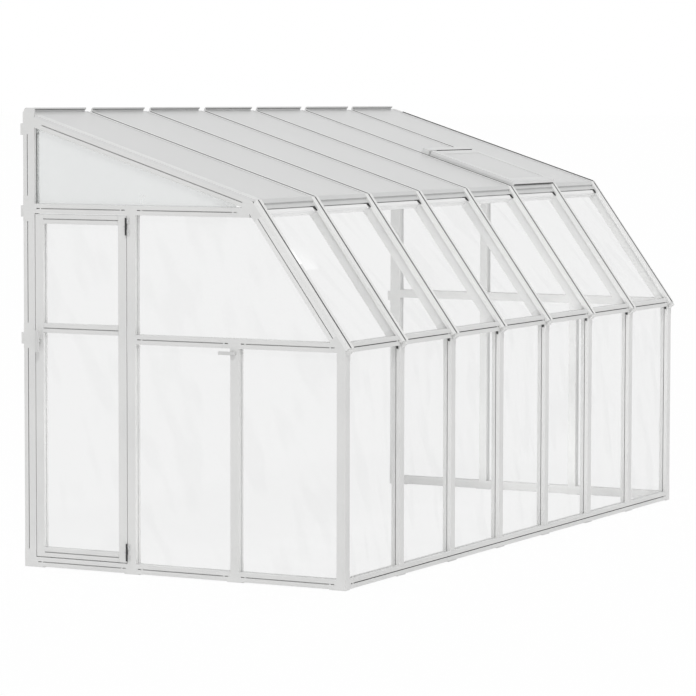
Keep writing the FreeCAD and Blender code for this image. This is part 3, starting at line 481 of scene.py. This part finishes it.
# Black strips below the lip of the flashing, one length in each bay: they paint the shade of the slot
# between the lip and the upper edge of the panels.
LIP_REACH = 0.018
LIP_THICKNESS = 0.008
SLOT_SHADE_SETBACK = 0.0015
SLOT_SHADE_DEPTH = 0.0063
SLOT_SHADE_HEIGHT = 0.0030
BAY_MARGIN = 0.041
END_MARGIN = 0.002
flashing_low, flashing_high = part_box("wall_flashing")
lip_under = flashing_high.z - LIP_THICKNESS
slot_shade_outline = [(0.0, -SLOT_SHADE_HEIGHT), (SLOT_SHADE_DEPTH, -SLOT_SHADE_HEIGHT), (SLOT_SHADE_DEPTH, 0.0), (0.0, 0.0)]
slot_shade_strips = bmesh.new()
for left, right in zip(post_x, post_x[1:]):
    slot_shade_left = flashing_low.x + END_MARGIN if left == post_x[0] else left + BAY_MARGIN
    start = Vector((slot_shade_left, wall_back - LIP_REACH + SLOT_SHADE_SETBACK, lip_under))
    extruded(slot_shade_strips, slot_shade_outline, start, (right - BAY_MARGIN - slot_shade_left) * ALONG_X, ALONG_Y, ALONG_Z)
finished("flashing_slot_shade", slot_shade_strips, rubber_and_painted_shade, "frame")

# Clear panes of the front, the slope, the ends and the door: flat acrylic sheets, held in the bars'
# grooves or below the caps. A thin film on them is thinnest on the right end, and its weight varies in
# steep streaks that paint the shadows of bars.
FILMS = {
    "left_end_panes": 0.112,
    "door_panes": 0.112,
    "front_panes": 0.115,
    "slant_panes": 0.125,
    "right_end_panes": 0.012,
}
ACRYLIC = (0.46, 0.468, 0.466, 1.0)
ACRYLIC_ROUGHNESS = 0.06
ACRYLIC_IOR = 1.49
STREAK = 0.2
STREAK_COVER = 1 / 3
STREAK_RUN = Vector((0.34, -0.34, -0.94))
STREAK_SCALE = (8.0, 8.0, 0.07)
STREAKS = {"scale": 1.0, "detail": 1.0}
STREAK_SPAN = (0.48, 0.68)


def clear_sheet(name, film):
    """Acrylic with a film of a given mean weight, in streaks of painted shadow along one direction."""
    material, place = new_material(name)
    upright = tuple(STREAK_RUN.rotation_difference(ALONG_Z).to_euler())
    turned = place.out("ShaderNodeMapping", Vector=place, Rotation=upright)
    drawn = place.out("ShaderNodeMapping", Vector=turned, Scale=STREAK_SCALE)
    # Painted shadow: steep streaks in the film's weight.
    painted_shadow_streaks = drawn.noise(**STREAKS).clamped(*STREAK_SPAN)
    close(place, place.out(
        "ShaderNodeBsdfPrincipled",
        Base_Color=ACRYLIC,
        Roughness=ACRYLIC_ROUGHNESS,
        Alpha=film * (1 - STREAK * STREAK_COVER) + film * STREAK * painted_shadow_streaks,
        IOR=ACRYLIC_IOR,
    ))
    return material


for name, film in FILMS.items():
    dress([name], clear_sheet("acrylic_" + name, film))

# Twin-wall sheets of the gables, the roof and the vent: two hazy skins joined by ribs, which show
# as fine stripes that run up the sheet. The roof's sheets are greyer and nearly opaque.
GABLE_SKIN = (0.70, 0.723, 0.718, 1.0)
GABLE_RIB = (0.62, 0.643, 0.638, 1.0)
GABLE_ALPHA = 0.30
ROOF_SKIN = (0.71, 0.713, 0.71, 1.0)
ROOF_RIB = (0.675, 0.679, 0.676, 1.0)
ROOF_ALPHA = 0.84
SHEET_ROUGHNESS = 0.3
SHEET_IOR = 1.55
RIB_PITCH = 0.011
RIB_SPAN = (0.2, 0.9)
RIB_TONE = 0.6
RIB_ALPHA = 0.02
HAZE = {"scale": 2.2, "detail": 3.0}
HAZE_TONE = 0.4
HAZE_ALPHA = 0.05
HAZE_ROUGHNESS = 0.1


def twin_wall(name, axis, alpha, skin, rib):
    """Hazy sheet with a stripe for each rib, counted along one axis."""
    material, place = new_material(name)
    ribs = place.along(axis) * (2 * math.pi / RIB_PITCH)
    stripe = place.maths("SINE", ribs).clamped(*RIB_SPAN)
    haze = place.noise(**HAZE)
    close(place, place.out(
        "ShaderNodeBsdfPrincipled",
        Base_Color=(RIB_TONE * stripe + HAZE_TONE * haze).mixed(skin, rib),
        Roughness=SHEET_ROUGHNESS + HAZE_ROUGHNESS * haze,
        Alpha=alpha + RIB_ALPHA * stripe + HAZE_ALPHA * haze,
        IOR=SHEET_IOR,
    ))
    return material


dress(["roof_panels", "vent_panel"], twin_wall("twin_wall_roof", "X", ROOF_ALPHA, ROOF_SKIN, ROOF_RIB))
dress(["gable_panels"], twin_wall("twin_wall_gable", "Y", GABLE_ALPHA, GABLE_SKIN, GABLE_RIB))

# Seals at the back edges of the gable sheets: slim black rubber strips, pressed into the corner between
# the outer face of the sheet and the wall post.
GABLE_SEAL = 0.0022
GABLE_SEAL_DROP = 0.045
gable_low, gable_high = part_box("gable_panels")
gable_outline = [
    (0.0, 0.0),
    (GABLE_SEAL, 0.0),
    (GABLE_SEAL, GABLE_SEAL / 2),
    (GABLE_SEAL / 2, GABLE_SEAL),
    (0.0, GABLE_SEAL),
]
gable_seals = bmesh.new()
for hand, outer, outward in (("left", gable_low.x, -1), ("right", gable_high.x, 1)):
    rail_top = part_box("head_rail_" + hand)[1].z
    start = Vector((outer, wall_front, rail_top + END_MARGIN))
    rise = gable_high.z - GABLE_SEAL_DROP - start.z
    extruded(gable_seals, gable_outline, start, rise * ALONG_Z, outward * ALONG_X, -ALONG_Y)
finished("gable_seals", gable_seals, rubber_and_painted_shade, "frame")

# Door and its hinges: stiles and rails of the frame's resin, with slim moulded hinges near its top and
# its foot. Their barrels, and the hinge stile round the axis, are painted black as the shade of the gap
# at the hinge line.
BARREL_RADIUS = 0.0054
BARREL_EDGE = 0.0003
MOULDED = (0.66, 0.662, 0.655, 1.0)
MOULDED_SHADE = (0.61, 0.612, 0.606, 1.0)


def hinge_painted_shade_resin(name, axis, light, shade):
    """Resin painted black near an upright axis, as shade of the gap round the hinge barrels."""
    material, place = new_material(name)
    cloud = place.noise(**CLOUD)
    beside = place.along("X") - axis.x
    behind = place.along("Y") - axis.y
    reach = place.maths("SQRT", beside * beside + behind * behind)
    outside = reach.clamped(BARREL_RADIUS - BARREL_EDGE, BARREL_RADIUS)
    # Painted shade: black within the barrel's radius of the hinge axis.
    tone = outside.mixed(RUBBER_AND_PAINTED_SHADE, clouded(cloud, light, shade))
    satin(place, tone, SATIN + CLOUD_ROUGHNESS * cloud)
    return material


joints = {joint["name"]: Vector(joint["pos_m"]) for joint in frame["record"]["behaviour"]["joints"]}
hinge_axis = joints["door_swing"]
dress(["door_latch_stile", "door_rails"], frame_resin)
dress(["door_hinges"], hinge_painted_shade_resin("hinge_painted_shade_resin", hinge_axis, MOULDED, MOULDED_SHADE))
dress(["door_hinge_stile"], hinge_painted_shade_resin("hinge_stile_resin", hinge_axis, RESIN, RESIN_SHADE))

# Screws of the hinges: small aluminium button heads with a round socket. Two hold each hinge to the
# post, and one holds it to the door's stile.
HINGE_HEIGHT = 0.090
HINGE_FACE = 0.004
SCREW_OFFSET = 0.013
SCREW_SPREAD = HINGE_HEIGHT / 3
SCREW_SIDES = 20
SCREW_RADIUS = 0.0034
SCREW_TOP_RADIUS = 0.8 * SCREW_RADIUS
SCREW_RIM = 0.4 * SCREW_RADIUS
SCREW_HEIGHT = 0.0016
SOCKET_DEPTH = 0.7 * SCREW_HEIGHT
ALUMINIUM = (0.62, 0.63, 0.64, 1.0)
ALUMINIUM_DULL = (0.5, 0.51, 0.52, 1.0)
ALUMINIUM_ROUGHNESS = 0.28
DRAWN_SCALE = (900.0, 12.0, 12.0)
DRAWN = {"scale": 1.0, "detail": 3.0}
DRAWN_ROUGHNESS = 0.2


def metal(name):
    """Bare aluminium with fine drawing lines."""
    material, place = new_material(name)
    lines = place.out("ShaderNodeMapping", Vector=place, Scale=DRAWN_SCALE).noise(**DRAWN)
    close(place, place.out(
        "ShaderNodeBsdfPrincipled",
        Base_Color=lines.mixed(ALUMINIUM, ALUMINIUM_DULL),
        Metallic=1.0,
        Roughness=ALUMINIUM_ROUGHNESS + DRAWN_ROUGHNESS * lines,
    ))
    return material


def screw_head(shape, seat, out):
    """Adds a button head with a round socket to a bmesh, sitting on a seat and facing out."""
    turned = out.to_track_quat("Z", "Y").to_matrix().to_4x4()
    middle = Matrix.Translation(seat + out * SCREW_HEIGHT / 2) @ turned
    verts = bmesh.ops.create_cone(
        shape, cap_ends=True, segments=SCREW_SIDES, radius1=SCREW_RADIUS, radius2=SCREW_TOP_RADIUS,
        depth=SCREW_HEIGHT, matrix=middle,
    )["verts"]
    shape.normal_update()
    faces = {face for vert in verts for face in vert.link_faces}
    top = max(faces, key=lambda face: face.calc_center_median().dot(out))
    bmesh.ops.inset_region(shape, faces=[top], thickness=SCREW_RIM, use_even_offset=True)
    bmesh.ops.translate(shape, verts=top.verts, vec=-SOCKET_DEPTH * out)


bare_aluminium = metal("bare_aluminium")
hinge_low, hinge_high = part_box("door_hinges")
hinge_face = hinge_axis.x + HINGE_FACE
post_screws = bmesh.new()
stile_screws = bmesh.new()
for level in (hinge_low.z + HINGE_HEIGHT / 2, hinge_high.z - HINGE_HEIGHT / 2):
    for spread in (-SCREW_SPREAD, SCREW_SPREAD):
        seat = Vector((hinge_face, hinge_axis.y - SCREW_OFFSET, level + spread))
        screw_head(post_screws, seat, -ALONG_X)
    screw_head(stile_screws, Vector((hinge_face, hinge_axis.y + SCREW_OFFSET, level)), -ALONG_X)
finished("hinge_post_screws", post_screws, bare_aluminium, "frame")
finished("hinge_stile_screws", stile_screws, bare_aluminium, "door")

# Handle and holder of the door: moulded levers on turned pins. A round rose on the latch stile
# covers the handle's bore.
ROSE_SIDES = 40
ROSE_RADIUS = 0.013
ROSE_BORE = 0.0066
ROSE_THICKNESS = 0.0024
ROSE_EASE = ROSE_THICKNESS / 4
moulded_resin = resin("moulded_resin", MOULDED, MOULDED_SHADE, DULL, GROOVE_PAINTED_SHADE)
dress(["door_handle", "door_holder"], moulded_resin)
rose = bmesh.new()
facing = Matrix.Translation(joints["door_handle_turn"]) @ Matrix.Rotation(-math.pi / 2, 4, "Y")
bmesh.ops.create_circle(rose, cap_ends=True, segments=ROSE_SIDES, radius=ROSE_RADIUS, matrix=facing)
rose.normal_update()
disc = rose.faces[:]
bmesh.ops.inset_region(
    rose, faces=disc, thickness=ROSE_RADIUS - ROSE_BORE, use_boundary=True, use_even_offset=True,
)
bmesh.ops.delete(rose, geom=disc, context="FACES")
drawn = bmesh.ops.extrude_face_region(rose, geom=rose.faces[:])["geom"]
raised = [item for item in drawn if isinstance(item, bmesh.types.BMVert)]
bmesh.ops.translate(rose, verts=raised, vec=-ROSE_THICKNESS * ALONG_X)
rim = [edge for edge in rose.edges if all(vert in raised for vert in edge.verts)]
bmesh.ops.bevel(
    rose, geom=rim, offset=ROSE_EASE, offset_type="OFFSET", affect="EDGES", segments=2,
    profile=0.5, material=-1,
)
finished("handle_rose", rose, moulded_resin, "door")

# Roof vent: header with the hinge pins, a sash that holds the small panel, both with painted light and
# shade: pale on their sides and grey on the faces that face out of the roof. The stay that props it
# open is a bar of bare aluminium.
SASH_TOP_PAINTED_SHADE = (0.665, 0.667, 0.663, 1.0)
SASH_TOP_PAINTED_SHADE_DARKER = (0.64, 0.643, 0.64, 1.0)
SASH_SIDE_PAINTED_LIGHT = (0.81, 0.812, 0.807, 1.0)
SASH_SIDE_PAINTED_LIGHT_DARKER = (0.78, 0.782, 0.777, 1.0)
UPWARD_SPAN = (0.5, 0.9)


def facing_painted_resin(name):
    """Resin with painted light and shade: grey where it faces out of the roof, pale on its sides."""
    material, place = new_material(name)
    cloud = place.noise(**CLOUD)
    top = clouded(cloud, SASH_TOP_PAINTED_SHADE, SASH_TOP_PAINTED_SHADE_DARKER)
    side = clouded(cloud, SASH_SIDE_PAINTED_LIGHT, SASH_SIDE_PAINTED_LIGHT_DARKER)
    normal = Value(place.tree, place.socket.node.outputs["Normal"])
    # Painted light and shade by facing: faces out of the roof take the grey tone, the sides the pale one.
    tone = normal.dot(roof_out).clamped(*UPWARD_SPAN).mixed(side, top)
    satin(place, tone, SATIN + CLOUD_ROUGHNESS * cloud)
    return material


sash_resin = facing_painted_resin("sash_resin")
dress(["vent_header", "vent_sash"], sash_resin)
dress(["vent_stay"], bare_aluminium)

# Curb of the vent: a low ring of the sash's resin, fixed on the glazing bars round the opening, which
# the sash closes on.
VENT_LOW = -0.004
VENT_LENGTH = 0.559
VENT_UNDER = 0.009
CURB_INSET = 0.001
CURB_FRONT = 0.003
CURB_WIDTH = 0.016
CURB_FLOOR = 0.0006
CURB_GAP = 0.0012


def on_roof(x, along, above):
    """A place by its distances along the knee, up the roof and out of it."""
    return knee + x * ALONG_X + along * roof_along + above * roof_out


sash_low, sash_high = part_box("vent_sash")
curb_left = sash_low.x + CURB_INSET
curb_right = sash_high.x - CURB_INSET
curb_low = VENT_LOW + CURB_FRONT
curb_high = VENT_LOW + VENT_LENGTH - CURB_FRONT
corners = [(curb_left, curb_low), (curb_right, curb_low), (curb_right, curb_high), (curb_left, curb_high)]
vent_curb = bmesh.new()
sheet = vent_curb.faces.new([vent_curb.verts.new(on_roof(x, along, CURB_FLOOR)) for x, along in corners])
vent_curb.normal_update()
bmesh.ops.inset_region(
    vent_curb, faces=[sheet], thickness=CURB_WIDTH, use_boundary=True, use_even_offset=True,
)
bmesh.ops.delete(vent_curb, geom=[sheet], context="FACES")
drawn = bmesh.ops.extrude_face_region(vent_curb, geom=vent_curb.faces[:])["geom"]
lifted = [item for item in drawn if isinstance(item, bmesh.types.BMVert)]
bmesh.ops.translate(vent_curb, verts=lifted, vec=(VENT_UNDER - CURB_GAP - CURB_FLOOR) * roof_out)
finished("vent_curb", vent_curb, sash_resin, "frame")

# Black strip at the front of the vent: it hangs from the sash's underside in front of the curb, with a lip
# that ends just above the roof, and paints the shade of the gap under the sash's front edge.
FRONT_GAP_INSET = (0.033, 0.002)
FRONT_GAP_BACK = 0.0007
FRONT_GAP_THICKNESS = 0.0020
front_gap_outline = [
    (0.0, 0.0),
    (-FRONT_GAP_THICKNESS, 0.0),
    (-FRONT_GAP_THICKNESS, CURB_GAP - VENT_UNDER),
    (-FRONT_GAP_THICKNESS / 2, CURB_FLOOR - VENT_UNDER),
    (0.0, CURB_GAP - VENT_UNDER),
]
front_gap_run = (sash_high.x - sash_low.x - sum(FRONT_GAP_INSET)) * ALONG_X
front_gap_shade = bmesh.new()
start = on_roof(sash_low.x + FRONT_GAP_INSET[0], curb_low - FRONT_GAP_BACK, VENT_UNDER)
extruded(front_gap_shade, front_gap_outline, start, front_gap_run, roof_along, roof_out)
finished("vent_front_gap_shade", front_gap_shade, rubber_and_painted_shade, "vent")

# Black strip at the vent's hinge: thin, along the front face of the header behind the hinge, where it
# paints the shade of the gap.
VENT_TOP = 0.030
HINGE_CHANNEL = 0.016
STRIP_INSET = (0.100, 0.004)
STRIP_HEIGHT = 0.0062
STRIP_THICKNESS = 0.0008
STRIP_DROP = 0.0006
strip_outline = [
    (-STRIP_THICKNESS, -STRIP_HEIGHT),
    (0.0, -STRIP_HEIGHT),
    (0.0, 0.0),
    (-STRIP_THICKNESS / 2, 0.0),
    (-STRIP_THICKNESS, -STRIP_THICKNESS),
]
strip_run = (sash_high.x - sash_low.x - sum(STRIP_INSET)) * ALONG_X
hinge_strip = bmesh.new()
header_front = VENT_LOW + VENT_LENGTH + HINGE_CHANNEL
start = on_roof(sash_low.x + STRIP_INSET[0], header_front, VENT_TOP - STRIP_DROP)
extruded(hinge_strip, strip_outline, start, strip_run, roof_along, roof_out)
finished("vent_hinge_gap_shade", hinge_strip, rubber_and_painted_shade, "frame")

# Studio floor: a wide white sheet just below the feet. It glows white to the camera, in mirrors and
# through the panes, and keeps a faint shadow.
WHITE = (1.0, 1.0, 1.0, 1.0)
FLOOR_HALF = 400.0
FLOOR_BELOW = 0.0006
SHADOW_SHARE = 0.07


def seen_directly(value):
    """1 for rays that carry the background to the camera, straight, mirrored or through glass."""
    path = value.node("ShaderNodeLightPath")
    camera_ray = Value(value.tree, path.outputs["Is Camera Ray"])
    glossy_ray = Value(value.tree, path.outputs["Is Glossy Ray"])
    passing_ray = Value(value.tree, path.outputs["Is Transmission Ray"])
    return value.maths("MAXIMUM", camera_ray, value.maths("MAXIMUM", glossy_ray, passing_ray))


floor_mesh = bmesh.new()
bmesh.ops.create_grid(floor_mesh, x_segments=1, y_segments=1, size=FLOOR_HALF)
bmesh.ops.translate(floor_mesh, verts=floor_mesh.verts, vec=(0, 0, -FLOOR_BELOW))
floor_data = bpy.data.meshes.new("studio_floor")
floor_mesh.to_mesh(floor_data)
floor_mesh.free()
floor = bpy.data.objects.new("studio_floor", floor_data)
bpy.context.scene.collection.objects.link(floor)
floor_material, place = new_material("studio_white")
lit = place.out("ShaderNodeBsdfDiffuse", Color=WHITE)
glow = place.out("ShaderNodeEmission", Color=WHITE, Strength=1.0)
share = seen_directly(place) * (1 - SHADOW_SHARE)
close(place, place.out("ShaderNodeMixShader", i0=share, i1=lit, i2=glow))
floor_data.materials.append(floor_material)

# Light: even white light all round and one high soft sun. Weak lamps, which don't show, give the
# daylight inside: one at the left of each bay, one just above the floor, and one before each of three
# posts of the left end.
SKY_LEVEL = 0.70
SUN_LEVEL = 0.28
SUN_WIDTH = math.radians(7.0)
SUN_FROM = Vector((-0.52, -0.32, 0.79))
FIRST_LAMP_POWER = 4.3
BAY_LAMP_POWER = 1.8
BAY_LAMP_SIZE = (1.05, 1.75)
BAY_LAMP_PLACE = Vector((0.07, 0.0, 0.66))
FLOOR_LAMP_POWER = 13.0
FLOOR_LAMP_SIZE = (4.0, 1.6)
FLOOR_LAMP_PLACE = Vector((0.0, 0.05, 0.03))
END_LAMP_POWER = 1.0
END_LAMP_SIZE = (0.2, 1.7)
END_LAMP_REACH = 0.33
END_LAMP_INSIDE = 0.14
END_LAMP_HEIGHT = 0.875

world = bpy.data.worlds.new("studio_world")
bpy.context.scene.world = world
world.use_nodes = True
world.node_tree.nodes.clear()
sky = Value(world.node_tree, None)
level = seen_directly(sky) * (1 - SKY_LEVEL) + SKY_LEVEL
light = sky.out("ShaderNodeBackground", Color=WHITE, Strength=level)
world_end = world.node_tree.nodes.new("ShaderNodeOutputWorld")
world.node_tree.links.new(light.socket, world_end.inputs["Surface"])

sun = bpy.data.lights.new("soft_sun", "SUN")
sun.energy = SUN_LEVEL * math.pi
sun.angle = SUN_WIDTH
sun_holder = bpy.data.objects.new("soft_sun", sun)
bpy.context.scene.collection.objects.link(sun_holder)
sun_holder.rotation_euler = SUN_FROM.to_track_quat("Z", "Y").to_euler()


def soft_lamp(name, power, size, place, facing):
    """A flat lamp that lights one way but is never seen."""
    lamp = bpy.data.lights.new(name, "AREA")
    lamp.energy = power
    lamp.shape = "RECTANGLE"
    lamp.size, lamp.size_y = size
    holder = bpy.data.objects.new(name, lamp)
    bpy.context.scene.collection.objects.link(holder)
    holder.location = place
    holder.rotation_euler = (-facing).to_track_quat("Z", "Y").to_euler()
    holder.visible_camera = False
    holder.visible_glossy = False
    holder.visible_transmission = False


for number, x in enumerate(post_x[:-1], start=1):
    power = FIRST_LAMP_POWER if number == 1 else BAY_LAMP_POWER
    soft_lamp("bay_lamp_%d" % number, power, BAY_LAMP_SIZE, BAY_LAMP_PLACE + x * ALONG_X, ALONG_X)
soft_lamp("floor_lamp", FLOOR_LAMP_POWER, FLOOR_LAMP_SIZE, FLOOR_LAMP_PLACE, ALONG_Z)
for name in ("mid_post_left", "door_post", "wall_post_left"):
    post_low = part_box(name)[0]
    end_place = Vector((post_low.x + END_LAMP_INSIDE, post_low.y - END_LAMP_REACH, END_LAMP_HEIGHT))
    soft_lamp(name + "_lamp", END_LAMP_POWER, END_LAMP_SIZE, end_place, ALONG_Y)

# Camera: a long lens far off to the left of the front, a little above the height of the roof and
# tilted slightly down.
LENS = 172.25
SENSOR = 36.0
VIEW_END = 900.0
CAMERA = Vector((-16.823, -8.564, 2.470))
YAW = math.radians(62.566)
PITCH = math.radians(4.322)
ROLL = math.radians(0.106)
view = Vector((math.cos(PITCH) * math.sin(YAW), math.cos(PITCH) * math.cos(YAW), -math.sin(PITCH)))
level_right = Vector((math.cos(YAW), -math.sin(YAW), 0.0))
level_up = level_right.cross(view)
rolled_right = math.cos(ROLL) * level_right + math.sin(ROLL) * level_up
rolled_up = math.cos(ROLL) * level_up - math.sin(ROLL) * level_right
camera_data = bpy.data.cameras.new("camera")
camera_data.lens = LENS
camera_data.sensor_width = SENSOR
camera_data.clip_end = VIEW_END
camera = bpy.data.objects.new("camera", camera_data)
bpy.context.scene.collection.objects.link(camera)
turned = Matrix((rolled_right, rolled_up, -view)).transposed().to_4x4()
camera.matrix_world = Matrix.Translation(CAMERA) @ turned
bpy.context.scene.camera = camera
bpy.context.scene.view_settings.view_transform = "Standard"
